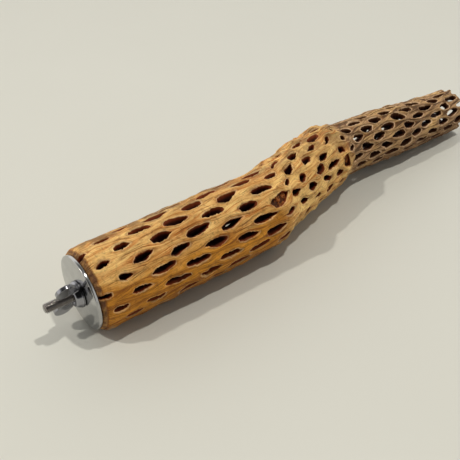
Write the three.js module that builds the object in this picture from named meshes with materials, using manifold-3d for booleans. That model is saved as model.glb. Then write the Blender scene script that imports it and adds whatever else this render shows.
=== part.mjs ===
// Cholla cactus skeleton made into a perch: a hollow, net-like wooden stem with a plugged near end,
// a hanger bolt, a wide washer and a wing nut. Millimetres, +Z up, lying on a table at z = 0.
// The stem runs along +X. While it is built, x = 0 is the washer's outer face.
import * as THREE from 'three';
import { mergeVertices } from 'three/addons/utils/BufferGeometryUtils.js';
import Module from 'manifold-3d';

// Fit between neighbouring pieces
const CLEARANCE = 0.3;

// Stem: course of its middle and its outer radius, at a few places along x
const STEM_COURSE = [
  { x: 2.3, y: 0, z: 24.2, r: 24.7 },
  { x: 50, y: 0, z: 24.4, r: 25 },
  { x: 95, y: 0, z: 24.6, r: 25.2 },
  { x: 118, y: 0, z: 24.9, r: 25 },
  { x: 134, y: 0.6, z: 25.2, r: 24.4 },
  { x: 146, y: 5.1, z: 25.2, r: 23.2 },
  { x: 182, y: 14.6, z: 26.1, r: 22.3 },
  { x: 206, y: 21.8, z: 25.2, r: 21.5 },
  { x: 226, y: 26.6, z: 21.8, r: 18.9 },
  { x: 275, y: 25.8, z: 19.6, r: 18.5 },
  { x: 325, y: 25.3, z: 16.4, r: 16.8 },
  { x: 346, y: 25.8, z: 15.8, r: 16.4 },
];
const NEAR_BEVEL = { from: 22.2, to: 26.4, length: 5.5 };
const THICK_WALL = 8;
const THIN_WALL = 4.6;
const WALL_CHANGE = { from: 150, to: 235 };

// Net of holes: one spiral of lens-shaped holes climbs the whole stem. An angle on the stem counts from
// the top towards -Y, in degrees. Each hole is turned on from the last by the same angle, so its nearest
// neighbours on the two slants are always the same number of holes further on.
const HOLE_TURN_DEG = 64.22;
const SLANT_UP = 11;
const SLANT_DOWN = 17;
const FIRST_HOLE = { x: 1.5, angle: 231.2 };
const SPARE_HOLES = 30;
const HOLE_COURSE = [
  { x: 0, step: 1.306, twist: 0, length: 6, width: 3.2 },
  { x: 45, step: 1.306, twist: 0, length: 15, width: 4.8 },
  { x: 126, step: 1.306, twist: 0, length: 16.5, width: 4.8 },
  { x: 142, step: 0.95, twist: -0.12, length: 7.4, width: 3.6 },
  { x: 208, step: 0.95, twist: -0.12, length: 7.4, width: 3.6 },
  { x: 224, step: 1.146, twist: 0, length: 12.4, width: 4.4 },
  { x: 346, step: 1.146, twist: 0, length: 12.4, width: 4.4 },
];
const HOLE_SHOULDER = 0.45;
const HOLE_INNER_SCALE = 0.74;
const HOLE_SLANT_DEG = 4;
const HOLE_JITTER = { place: 0.6, size: 0.1, seed: 11 };

// Knots: raised oval rims round an open pit, most of them at the swollen joint
const KNOTS = [
  { x: 130, angle: 42, length: 16, width: 7.8, rise: 1.3, reach: 13, slant: -6 },
  { x: 205, angle: 54, length: 12, width: 7.4, rise: 2.2, reach: 14, slant: 8 },
  { x: 200, angle: 2, length: 14, width: 5.6, rise: 1.4, reach: 12, slant: -24 },
  { x: 178, angle: -62, length: 10, width: 5, rise: 1, reach: 15, slant: 0 },
  { x: 275, angle: 21, length: 12.6, width: 6.2, rise: 0.7, reach: 9, slant: 12 },
  { x: 274.5, angle: 88, length: 12.6, width: 5.8, rise: 0.4, reach: 9, slant: -14 },
];

// End hardware on the bolt axis
const BOLT_AXIS_Z = 24.2;
const WASHER = { diameter: 45, bore: 6.6, thickness: 2, edge: 0.35, sides: 48 };
const THREAD = { diameter: 6, pitch: 1, depth: 0.55, sides: 12 };
const STUD_REACH = 21.5;
const SHANK_LENGTH = 2;
const SCREW = { diameter: 5, length: 30, pitch: 2.5, depth: 0.7, tip: 5 };
const PLUG = { bore: 17.2, length: 40, chamfer: 1, pilotTail: 1.5, sides: 24 };
const NUT = { bore: 6.7, height: 15, span: 33, sides: 28 };
const HUB = { base: 16, top: 13.6, height: 4.8, skirt: 1.4, round: 0.7 };
const WING = {
  thickness: 2.4, bevel: 0.35, curveSteps: 7, root: 4.6, foot: 1.2, brow: 0.6,
  lobe: 5.8, lobeFromDeg: -30, lobeToDeg: 165, hollow: 2.6, saddle: 0.5,
};
const WING_LEAN_DEG = 25;

const FINISH = {
  wood: new THREE.MeshStandardMaterial({ color: 0xb98a4e, roughness: 0.8, metalness: 0 }),
  plug: new THREE.MeshStandardMaterial({ color: 0x8a6238, roughness: 0.85, metalness: 0 }),
  steel: new THREE.MeshStandardMaterial({ color: 0xc9cbcc, roughness: 0.22, metalness: 1 }),
};

const wasm = await Module();
wasm.setup();

// A solid for joining and cutting, from a closed three.js geometry
function toSolid(geometry) {
  const bare = geometry.clone();
  bare.deleteAttribute('normal');
  bare.deleteAttribute('uv');
  const merged = mergeVertices(bare, 1e-4);
  const vertProperties = new Float32Array(merged.attributes.position.array);
  const triVerts = new Uint32Array(merged.index.array);
  return new wasm.Manifold(new wasm.Mesh({ numProp: 3, vertProperties, triVerts }));
}

function toGeometry(solid) {
  const mesh = solid.getMesh();
  const geometry = new THREE.BufferGeometry();
  geometry.setAttribute('position', new THREE.BufferAttribute(new Float32Array(mesh.vertProperties), 3));
  geometry.setIndex(new THREE.BufferAttribute(new Uint32Array(mesh.triVerts), 1));
  geometry.computeVertexNormals();
  return geometry;
}

function namedMesh(name, geometry, material) {
  const mesh = new THREE.Mesh(geometry, material);
  mesh.name = name;
  return mesh;
}

// Repeatable draws between -1 and 1
function makeDraw(seed) {
  let state = seed;
  return () => {
    state = (state * 16807) % 2147483647;
    return (2 * state) / 2147483647 - 1;
  };
}

function easeBetween(value, from, to) {
  return THREE.MathUtils.smoothstep(value, from, to);
}

// One value of the stem's course at x, by a cubic through the neighbouring places
function courseValue(key, place) {
  const last = STEM_COURSE.length - 1;
  const x = THREE.MathUtils.clamp(place, STEM_COURSE[0].x, STEM_COURSE[last].x);
  let i = 0;
  while (i < last - 1 && x > STEM_COURSE[i + 1].x) i += 1;
  const slope = (k) => {
    const a = STEM_COURSE[Math.max(k - 1, 0)];
    const b = STEM_COURSE[Math.min(k + 1, last)];
    return (b[key] - a[key]) / (b.x - a.x);
  };
  const p = STEM_COURSE[i];
  const q = STEM_COURSE[i + 1];
  const span = q.x - p.x;
  const t = (x - p.x) / span;
  const h = 3 * t * t - 2 * t * t * t;
  const bendOut = t * (1 - t) * (1 - t) * span * slope(i);
  const bendIn = t * t * (t - 1) * span * slope(i + 1);
  return p[key] * (1 - h) + q[key] * h + bendOut + bendIn;
}

// One value of the holes' course at x, even between its places
function holeValue(key, x) {
  const i = HOLE_COURSE.findIndex((place) => x < place.x);
  if (i === 0) return HOLE_COURSE[0][key];
  if (i < 0) return HOLE_COURSE[HOLE_COURSE.length - 1][key];
  const p = HOLE_COURSE[i - 1];
  const q = HOLE_COURSE[i];
  return THREE.MathUtils.mapLinear(x, p.x, q.x, p[key], q[key]);
}

function wallAt(x) {
  return THREE.MathUtils.lerp(THICK_WALL, THIN_WALL, easeBetween(x, WALL_CHANGE.from, WALL_CHANGE.to));
}

// Distance on the skin between two angles at x
function arcBetween(x, angle, other) {
  const turned = THREE.MathUtils.euclideanModulo(angle - other + 180, 360) - 180;
  return THREE.MathUtils.degToRad(turned) * courseValue('r', x);
}

// The skin's radius, with the swellings round the knots
function skinRadius(x, angle) {
  let radius = courseValue('r', x);
  for (const knot of KNOTS) {
    const reach = Math.hypot(x - knot.x, arcBetween(x, angle, knot.angle)) / knot.reach;
    radius += knot.rise * Math.exp(-2 * reach * reach);
  }
  return radius;
}

function cavityRadius(x) {
  return courseValue('r', x) - wallAt(x);
}

function stemPoint(x, angle, radius) {
  const turn = THREE.MathUtils.degToRad(angle);
  return [x, courseValue('y', x) - radius * Math.sin(turn), courseValue('z', x) + radius * Math.cos(turn)];
}

// The holes in the order of their spiral, from before the near end to past the far end
function holeSpiral() {
  const draw = makeDraw(HOLE_JITTER.seed);
  const beyond = STEM_COURSE[STEM_COURSE.length - 1].x + SPARE_HOLES * holeValue('step', Infinity);
  let x = FIRST_HOLE.x - SPARE_HOLES * holeValue('step', 0);
  let angle = FIRST_HOLE.angle - SPARE_HOLES * HOLE_TURN_DEG;
  const holes = [];
  while (x < beyond) {
    holes.push({
      x: x + HOLE_JITTER.place * draw(),
      angle: angle + HOLE_JITTER.place * draw(),
      length: holeValue('length', x) * (1 + HOLE_JITTER.size * draw()),
      width: holeValue('width', x) * (1 + HOLE_JITTER.size * draw()),
      slant: HOLE_SLANT_DEG * draw(),
    });
    angle += HOLE_TURN_DEG + holeValue('twist', x);
    x += holeValue('step', x);
  }
  for (const knot of KNOTS) {
    const away = (hole) => Math.hypot(hole.x - knot.x, arcBetween(knot.x, hole.angle, knot.angle));
    const nearest = holes.reduce((best, hole) => (away(hole) < away(best) ? hole : best));
    Object.assign(nearest, { length: knot.length, width: knot.width, slant: knot.slant });
  }
  return holes;
}

// A hole's rim points in half-lengths and half-widths, from the far tip round by the low-angle side
const RIM = [
  [1, 0], [HOLE_SHOULDER, -1], [-HOLE_SHOULDER, -1], [-1, 0], [-HOLE_SHOULDER, 1], [HOLE_SHOULDER, 1],
];

// The strands between holes: each hole is tied to its neighbours by the same triangles. A corner is
// a number of holes further on and a rim point of that hole.
const BESIDE = SLANT_DOWN - SLANT_UP;
const STRANDS = [
  [[BESIDE, 1], [0, 0], [BESIDE, 2]],
  [[BESIDE, 1], [SLANT_DOWN, 3], [0, 0]],
  [[BESIDE, 2], [0, 5], [BESIDE, 3]],
  [[BESIDE, 2], [0, 0], [0, 5]],
  [[BESIDE, 3], [0, 5], [0, 4]],
  [[0, 0], [SLANT_UP, 3], [0, 1]],
  [[0, 0], [SLANT_UP, 4], [SLANT_UP, 3]],
  [[0, 0], [SLANT_DOWN, 3], [SLANT_UP, 4]],
];

function rimPoints(hole, radiusAt, scale) {
  const slant = THREE.MathUtils.degToRad(hole.slant);
  return RIM.map(([u, v]) => {
    const point = new THREE.Vector2(u * hole.length / 2, v * hole.width / 2);
    point.rotateAround(new THREE.Vector2(), slant).multiplyScalar(scale);
    const x = hole.x + point.x;
    const angle = hole.angle + THREE.MathUtils.radToDeg(point.y / radiusAt(hole.x, hole.angle));
    return stemPoint(x, angle, radiusAt(x, angle));
  });
}

// The stem's wall as a closed net: outer strands, inner strands, and the sides of every hole between them
function makeNet() {
  const holes = holeSpiral();
  const outer = holes.flatMap((hole) => rimPoints(hole, skinRadius, 1));
  const inner = holes.flatMap((hole) => rimPoints(hole, cavityRadius, HOLE_INNER_SCALE));
  const inward = outer.length;
  const faces = [];
  const edges = new Map();
  for (let n = 0; n + SLANT_DOWN < holes.length; n += 1) {
    for (const corners of STRANDS) {
      const [a, b, c] = corners.map(([onward, rim]) => (n + onward) * RIM.length + rim);
      faces.push(a, b, c, a + inward, c + inward, b + inward);
      for (const [p, q] of [[a, b], [b, c], [c, a]]) edges.set(`${p} ${q}`, [p, q]);
    }
  }
  for (const [p, q] of edges.values()) {
    if (!edges.has(`${q} ${p}`)) faces.push(q, p, p + inward, q, p + inward, q + inward);
  }
  const net = new THREE.BufferGeometry();
  net.setAttribute('position', new THREE.Float32BufferAttribute([...outer, ...inner].flat(), 3));
  net.setIndex(faces);
  return toSolid(net);
}

// The stem: the net sawn off at both ends, bevelled and bored at the near end, flat where it lies
function makeStem() {
  const near = STEM_COURSE[0].x;
  const far = STEM_COURSE[STEM_COURSE.length - 1].x;
  const offcut = new THREE.BoxGeometry(far, far, far);
  const nearOffcut = offcut.clone().translate(near - far / 2, 0, 0);
  const farOffcut = offcut.clone().translate(far + far / 2, 0, 0);
  const table = new THREE.BoxGeometry(3 * far, far, far).translate(far / 2, 0, -far / 2);
  const clear = 2 * NEAR_BEVEL.to;
  const bevel = turnedOnBoltAxis([
    [NEAR_BEVEL.from, near - 1], [clear, near - 1], [clear, near + NEAR_BEVEL.length],
    [NEAR_BEVEL.to, near + NEAR_BEVEL.length], [NEAR_BEVEL.from, near], [NEAR_BEVEL.from, near - 1],
  ], WASHER.sides);
  const boreEnd = near + PLUG.length + CLEARANCE;
  const bore = turnedOnBoltAxis([
    [0, near - 1], [PLUG.bore, near - 1], [PLUG.bore, boreEnd], [0, boreEnd],
  ], PLUG.sides);
  const cuts = [nearOffcut, farOffcut, table, bevel, bore].map(toSolid);
  const solid = cuts.reduce((stem, cut) => stem.subtract(cut), makeNet());
  return namedMesh('cholla_stem', toGeometry(solid), FINISH.wood);
}

// A closed profile of [radius, place along x] points, turned round the bolt axis
function turnedOnBoltAxis(profile, sides) {
  const points = profile.map(([radius, x]) => new THREE.Vector2(radius, x));
  const geometry = new THREE.LatheGeometry(points, sides);
  geometry.rotateZ(-Math.PI / 2);
  geometry.rotateX(Math.PI / 2);
  return geometry.translate(0, 0, BOLT_AXIS_Z);
}

function makeWasher() {
  const { diameter, bore, thickness, edge, sides } = WASHER;
  const rim = diameter / 2;
  const profile = [
    [bore / 2, 0], [rim - edge, 0], [rim, edge], [rim, thickness - edge],
    [rim - edge, thickness], [bore / 2, thickness], [bore / 2, 0],
  ];
  return namedMesh('washer', turnedOnBoltAxis(profile, sides), FINISH.steel);
}

// The bolt: machine thread outside, a shank through the washer, a coarse pointed screw in the plug
const SCREW_START = WASHER.thickness + CLEARANCE + SHANK_LENGTH;
const SCREW_END = SCREW_START + SCREW.length;

function makeBolt() {
  const major = THREAD.diameter / 2;
  const minor = major - THREAD.depth;
  const screwMajor = SCREW.diameter / 2;
  const screwMinor = screwMajor - SCREW.depth;
  const profile = [[0, -STUD_REACH], [minor, -STUD_REACH]];
  for (let x = -STUD_REACH + THREAD.pitch / 2; x < SCREW_START - THREAD.pitch; x += THREAD.pitch) {
    profile.push([major, x], [minor, x + THREAD.pitch / 2]);
  }
  for (let x = SCREW_START; x < SCREW_END - SCREW.tip; x += SCREW.pitch) {
    profile.push([screwMinor, x], [screwMajor, x + SCREW.pitch / 2]);
  }
  profile.push([screwMinor, SCREW_END - SCREW.tip], [0, SCREW_END]);
  return namedMesh('hanger_bolt', turnedOnBoltAxis(profile, THREAD.sides), FINISH.steel);
}

// The plug: a chamfered dowel with a blind pilot hole for the screw
function makePlug() {
  const front = WASHER.thickness + CLEARANCE;
  const back = front + PLUG.length;
  const radius = PLUG.bore - CLEARANCE;
  const pilot = THREAD.diameter / 2 + CLEARANCE;
  const profile = [
    [pilot, front], [radius - PLUG.chamfer, front], [radius, front + PLUG.chamfer],
    [radius, back - PLUG.chamfer], [radius - PLUG.chamfer, back], [0, back],
    [0, SCREW_END + PLUG.pilotTail], [pilot, SCREW_END - SCREW.tip], [pilot, front],
  ];
  return namedMesh('end_plug', turnedOnBoltAxis(profile, PLUG.sides), FINISH.plug);
}

// One wing's outline: u runs out from the bolt axis, v away from the washer
function wingOutline() {
  const { root, foot, brow, lobe, hollow, saddle } = WING;
  const lobeU = NUT.span / 2 - lobe;
  const lobeV = NUT.height - lobe;
  const from = THREE.MathUtils.degToRad(WING.lobeFromDeg);
  const to = THREE.MathUtils.degToRad(WING.lobeToDeg);
  const startU = lobeU + lobe * Math.cos(from);
  const startV = lobeV + lobe * Math.sin(from);
  const shape = new THREE.Shape();
  shape.moveTo(root, foot);
  shape.quadraticCurveTo(HUB.base / 2 + hollow, foot + saddle, startU, startV);
  shape.absarc(lobeU, lobeV, lobe, from, to, false);
  shape.quadraticCurveTo(HUB.top / 2 + saddle, HUB.height + saddle, root, HUB.height - brow);
  shape.closePath();
  return shape;
}

// The wing nut, with its base against the washer and its wings leaning off upright
function makeWingNut() {
  const base = -CLEARANCE;
  const top = base - HUB.height;
  const hub = turnedOnBoltAxis([
    [0, top], [HUB.top / 2 - HUB.round, top], [HUB.top / 2, top + HUB.round],
    [HUB.base / 2, base - HUB.skirt], [HUB.base / 2, base], [0, base],
  ], NUT.sides);
  const bore = NUT.bore / 2;
  const hole = turnedOnBoltAxis([
    [0, base - NUT.height], [bore, base - NUT.height], [bore, NUT.height], [0, NUT.height],
  ], NUT.sides);
  const { thickness, bevel } = WING;
  const wing = new THREE.ExtrudeGeometry(wingOutline(), {
    depth: thickness - 2 * bevel, bevelThickness: bevel, bevelSize: bevel, bevelOffset: -bevel,
    bevelSegments: 1, curveSegments: WING.curveSteps,
  });
  wing.translate(0, 0, bevel - thickness / 2);
  const outUp = new THREE.Vector3(0, 0, 1);
  const offWasher = new THREE.Vector3(-1, 0, 0);
  const toStem = new THREE.Matrix4().makeBasis(outUp, offWasher, outUp.clone().cross(offWasher));
  let solid = toSolid(hub);
  for (const side of [0, 1]) {
    const turned = wing.clone().rotateY(side * Math.PI).applyMatrix4(toStem);
    turned.rotateX(THREE.MathUtils.degToRad(WING_LEAN_DEG)).translate(base, 0, BOLT_AXIS_Z);
    solid = solid.add(toSolid(turned));
  }
  return namedMesh('wing_nut', toGeometry(solid.subtract(toSolid(hole))), FINISH.steel);
}

// The whole perch, set on the middle of its own footprint
const perch = new THREE.Group();
perch.add(makeStem(), makePlug(), makeWasher(), makeBolt(), makeWingNut());
const extent = new THREE.Box3().setFromObject(perch);
const middle = extent.getCenter(new THREE.Vector3());
for (const piece of perch.children) piece.position.set(-middle.x, -middle.y, -extent.min.z);

export default perch;
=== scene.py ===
"""Cholla cactus skeleton perch: a hollow net of cactus wood with a washer, stud and wing nut at its near end.

Sizes are in millimetres and become metres where a mesh is made. While the stem is laid out, x = 0 is the
washer's outer face and z = 0 is the table. An angle on the stem counts from the top towards -Y, in degrees.
"""

import logging
import math
from collections.abc import Iterator
from dataclasses import dataclass
from enum import Enum

import bmesh
import bpy
import numpy as np
from bpy.types import Material, Mesh, Node, NodeSocket, NodeTree, Object
from mathutils import Matrix, Vector


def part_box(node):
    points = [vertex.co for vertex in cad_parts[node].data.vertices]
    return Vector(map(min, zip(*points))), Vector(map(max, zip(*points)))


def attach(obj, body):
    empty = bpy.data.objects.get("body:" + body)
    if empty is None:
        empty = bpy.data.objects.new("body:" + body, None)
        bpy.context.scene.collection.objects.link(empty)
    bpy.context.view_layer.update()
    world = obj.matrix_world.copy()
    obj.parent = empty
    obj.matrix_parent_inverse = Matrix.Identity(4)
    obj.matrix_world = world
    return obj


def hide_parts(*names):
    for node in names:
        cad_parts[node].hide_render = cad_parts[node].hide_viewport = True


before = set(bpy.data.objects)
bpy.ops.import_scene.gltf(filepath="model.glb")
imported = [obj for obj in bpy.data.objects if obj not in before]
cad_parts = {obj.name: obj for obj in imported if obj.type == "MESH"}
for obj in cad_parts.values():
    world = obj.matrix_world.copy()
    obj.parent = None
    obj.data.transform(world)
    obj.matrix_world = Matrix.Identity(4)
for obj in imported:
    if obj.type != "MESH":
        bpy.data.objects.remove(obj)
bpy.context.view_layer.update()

LOG = logging.getLogger("perch")
MM = 0.001
FLOAT = "NodeSocketFloat"
VECTOR = "NodeSocketVector"
WHOLE = "NodeSocketInt"
GEOMETRY = "NodeSocketGeometry"
Colour = tuple[float, float, float, float]
Range = tuple[float, float]
Spot = tuple[float, float]
# Noise patches: cells in a metre, octaves, and the noise at which a patch begins and is full.
Patches = tuple[float, float, float, float]
Sockets = bpy.types.bpy_prop_collection


class Body(Enum):
    """The rigid bodies that pieces ride on."""

    PERCH = "perch"
    NUT = "nut"


class Slot(Enum):
    """The record's material slots."""

    WOOD = "weathered_wood"
    PLUG = "plug_wood"
    POLISHED = "polished_steel"
    THREAD = "thread_steel"
    CAST = "cast_steel"


def srgb(red: int, green: int, blue: int) -> Colour:
    """Turn a colour as seen on a screen into the linear colour that shaders use.

    Args:
        red: Red from 0 to 255.
        green: Green from 0 to 255.
        blue: Blue from 0 to 255.

    Returns:
        The linear colour with full alpha.
    """
    parts = [value / 255 for value in (red, green, blue)]
    linear = [p / 12.92 if p <= 0.04045 else ((p + 0.055) / 1.055) ** 2.4 for p in parts]
    return (*linear, 1.0)


def ease(value: np.ndarray, low: float, high: float) -> np.ndarray:
    """Rise smoothly from 0 at low to 1 at high."""
    t = np.clip((value - low) / (high - low), 0.0, 1.0)
    return t * t * (3 - 2 * t)


class Graph:
    """A node tree that is wired up one node at a time."""

    def __init__(self, tree: NodeTree) -> None:
        """Keep the tree that nodes are put in."""
        self.tree = tree

    def feed(self, socket: NodeSocket, value: object) -> None:
        """Link an input to a socket, or set the input's own value.

        Args:
            socket: The input.
            value: The socket or the value that feeds it.
        """
        if isinstance(value, NodeSocket):
            self.tree.links.new(value, socket)
        else:
            socket.default_value = value

    def put(self, kind: str, inputs: dict | None = None, **settings: object) -> Node:
        """Add a node.

        Args:
            kind: The node's type name.
            inputs: Values or sockets by input name or number.
            settings: The node's own settings.

        Returns:
            The new node.
        """
        node = self.tree.nodes.new(kind)
        for name, value in settings.items():
            setattr(node, name, value)
        for key, value in (inputs or {}).items():
            self.feed(node.inputs[key], value)
        return node

    def math(self, operation: str, *values: object) -> NodeSocket:
        """Add a Math node and return its value."""
        return self.put("ShaderNodeMath", dict(enumerate(values)), operation=operation).outputs[0]

    def times(self, first: object, second: object) -> NodeSocket:
        """Return the product of two numbers."""
        return self.math("MULTIPLY", first, second)

    def vector(self, operation: str, *values: object) -> NodeSocket:
        """Add a Vector Math node and return its vector."""
        return self.put("ShaderNodeVectorMath", dict(enumerate(values)), operation=operation).outputs[0]

    def scaled(self, vector: object, factor: object) -> NodeSocket:
        """Return a vector times a number."""
        return self.put("ShaderNodeVectorMath", {0: vector, "Scale": factor}, operation="SCALE").outputs[0]

    def combine(self, x: object, y: object, z: object) -> NodeSocket:
        """Return a vector of three numbers."""
        return self.put("ShaderNodeCombineXYZ", {0: x, 1: y, 2: z}).outputs[0]

    def split(self, vector: object) -> Sockets:
        """Return a vector's three numbers."""
        return self.put("ShaderNodeSeparateXYZ", {0: vector}).outputs

    def remap(self, value: object, low: float, high: float, start: float = 0, end: float = 1) -> NodeSocket:
        """Return a smooth step from start at low to end at high."""
        inputs = {0: value, 1: low, 2: high, 3: start, 4: end}
        return self.put("ShaderNodeMapRange", inputs, interpolation_type="SMOOTHSTEP").outputs[0]

    def mix(self, factor: object, first: object, second: object, blend: str = "MIX") -> NodeSocket:
        """Return a mix of two colours."""
        inputs = {0: factor, 6: first, 7: second}
        return self.put("ShaderNodeMix", inputs, data_type="RGBA", blend_type=blend).outputs[2]

    def noise(self, vector: object, scale: float, detail: float = 3, rough: float = 0.55) -> NodeSocket:
        """Return cloudy noise between 0 and 1."""
        inputs = {"Vector": vector, "Scale": scale, "Detail": detail, "Roughness": rough}
        return self.put("ShaderNodeTexNoise", inputs).outputs[0]

    def patches(self, vector: object, sizes: Patches, least: float = 0) -> NodeSocket:
        """Return soft patches of 1 on a ground of the least value."""
        scale, detail, low, high = sizes
        return self.remap(self.noise(vector, scale, detail), low, high, least)

    def attribute(self, name: str, output: str = "Fac") -> NodeSocket:
        """Read one of the piece's own attributes."""
        return self.put("ShaderNodeAttribute", attribute_name=name).outputs[output]

    def place(self) -> NodeSocket:
        """Return the place on the piece, in metres of the frame."""
        return self.put("ShaderNodeTexCoord").outputs["Object"]

    def group(self, tree: NodeTree, values: dict) -> Sockets:
        """Place a shader group with its values and return its outputs."""
        return self.put("ShaderNodeGroup", values, node_tree=tree).outputs

    def bump(self, shader: Node, height: NodeSocket, strength: float, distance: float) -> None:
        """Give a shader a bumpy normal of some strength, with its distance in millimetres."""
        inputs = {"Strength": strength, "Distance": distance * MM, "Height": height}
        self.feed(shader.inputs["Normal"], self.put("ShaderNodeBump", inputs).outputs[0])


def new_group(name: str, kind: str, inputs: dict, outputs: dict) -> tuple[Graph, Sockets, Sockets]:
    """Start a node group with named inputs and outputs.

    Args:
        name: The group's name.
        kind: ShaderNodeTree or GeometryNodeTree.
        inputs: Socket type and default by input name.
        outputs: Socket type by output name.

    Returns:
        The group's graph, the sockets that come in and the sockets that go out.
    """
    tree = bpy.data.node_groups.new(name, kind)
    for label, (socket_type, default) in inputs.items():
        socket = tree.interface.new_socket(label, in_out="INPUT", socket_type=socket_type)
        if default is not None:
            socket.default_value = default
    for label, socket_type in outputs.items():
        tree.interface.new_socket(label, in_out="OUTPUT", socket_type=socket_type)
    graph = Graph(tree)
    return graph, graph.put("NodeGroupInput").outputs, graph.put("NodeGroupOutput").inputs


def start_tree(name: str, *sizes: str) -> tuple[Graph, Sockets, Sockets]:
    """Start a geometry tree that takes a geometry and the named sizes, and return what new_group does."""
    inputs = {label: (WHOLE, 0) if label == "Seed" else (FLOAT, 0.0) for label in sizes}
    inputs = {"Geometry": (GEOMETRY, None)} | inputs
    return new_group(name, "GeometryNodeTree", inputs, {"Geometry": GEOMETRY})


def finish_tree(g: Graph, sink: Sockets, geometry: NodeSocket, material: Material) -> NodeTree:
    """End a geometry tree: make its instances real and set its material.

    Args:
        g: The tree's graph.
        sink: The sockets that go out.
        geometry: What the tree has shaped.
        material: The finish to set.

    Returns:
        The tree.
    """
    plain = g.put("GeometryNodeRealizeInstances", {"Geometry": geometry})
    dressed = g.put("GeometryNodeSetMaterial", {"Geometry": plain.outputs[0], "Material": material})
    g.feed(sink["Geometry"], dressed.outputs[0])
    return g.tree


def long_grain_group() -> NodeTree:
    """Build the shader group of wood grain that runs along the first axis of its vector.

    Returns:
        The group, with outputs Streak, Fibre and Crack.
    """
    inputs = {
        "Vector": (VECTOR, None), "Along": (FLOAT, 0.06), "Spacing": (FLOAT, 420.0), "Cracks": (FLOAT, 0.75)}
    g, source, sink = new_group(
        "Long grain", "ShaderNodeTree", inputs, {"Streak": FLOAT, "Fibre": FLOAT, "Crack": FLOAT})
    drawn = g.vector("MULTIPLY", source["Vector"], g.combine(source["Along"], 1.0, 1.0))
    spaced = g.scaled(drawn, source["Spacing"])
    split = g.noise(g.scaled(spaced, 0.55), 1.0, 2, 0.5)
    thin = g.remap(g.math("ABSOLUTE", g.math("SUBTRACT", split, 0.5)), 0.0, 0.03, 1.0, 0.0)
    longer = g.vector("MULTIPLY", source["Vector"], (0.35, 1.0, 1.0))
    where = g.patches(longer, (150.0, 2, 0.48, 0.62))
    g.feed(sink["Streak"], g.noise(spaced, 1.0, 4, 0.6))
    g.feed(sink["Fibre"], g.noise(spaced, 3.4, 3, 0.65))
    g.feed(sink["Crack"], g.times(g.times(thin, where), source["Cracks"]))
    return g.tree


def handling_group() -> NodeTree:
    """Build the shader group of fine scuffs and finger marks on bright metal.

    Returns:
        The group, with outputs Roughness, Tone and Height.
    """
    inputs = {"Vector": (VECTOR, None), "Base": (FLOAT, 0.12), "Smudge": (FLOAT, 0.1), "Scuff": (FLOAT, 0.08)}
    g, source, sink = new_group(
        "Handling marks", "ShaderNodeTree", inputs, {"Roughness": FLOAT, "Tone": FLOAT, "Height": FLOAT})
    smudge = g.patches(source["Vector"], (160.0, 4, 0.35, 0.75))
    scuff = g.patches(source["Vector"], (2200.0, 2, 0.55, 0.8))
    smudged = g.math("MULTIPLY_ADD", smudge, source["Smudge"], source["Base"])
    g.feed(sink["Roughness"], g.math("MULTIPLY_ADD", scuff, source["Scuff"], smudged))
    g.feed(sink["Tone"], g.math("MULTIPLY_ADD", smudge, -0.12, 1.0))
    g.feed(sink["Height"], scuff)
    return g.tree


def start_material(name: str) -> tuple[Material, Graph, Node]:
    """Make a node material.

    Args:
        name: The material's name.

    Returns:
        The material, its graph and its Principled BSDF.
    """
    material = bpy.data.materials.new(name)
    material.use_nodes = True
    return material, Graph(material.node_tree), material.node_tree.nodes["Principled BSDF"]


@dataclass(frozen=True)
class BoltAxis:
    """Where the bolt axis lies in the frame, in millimetres."""

    face_x: float
    y: float
    z: float

    @classmethod
    def from_frame(cls) -> "BoltAxis":
        """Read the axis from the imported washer's box."""
        low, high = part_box("washer")
        return cls(low[0] / MM, (low[1] + high[1]) / 2 / MM, (low[2] + high[2]) / 2 / MM)


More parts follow.
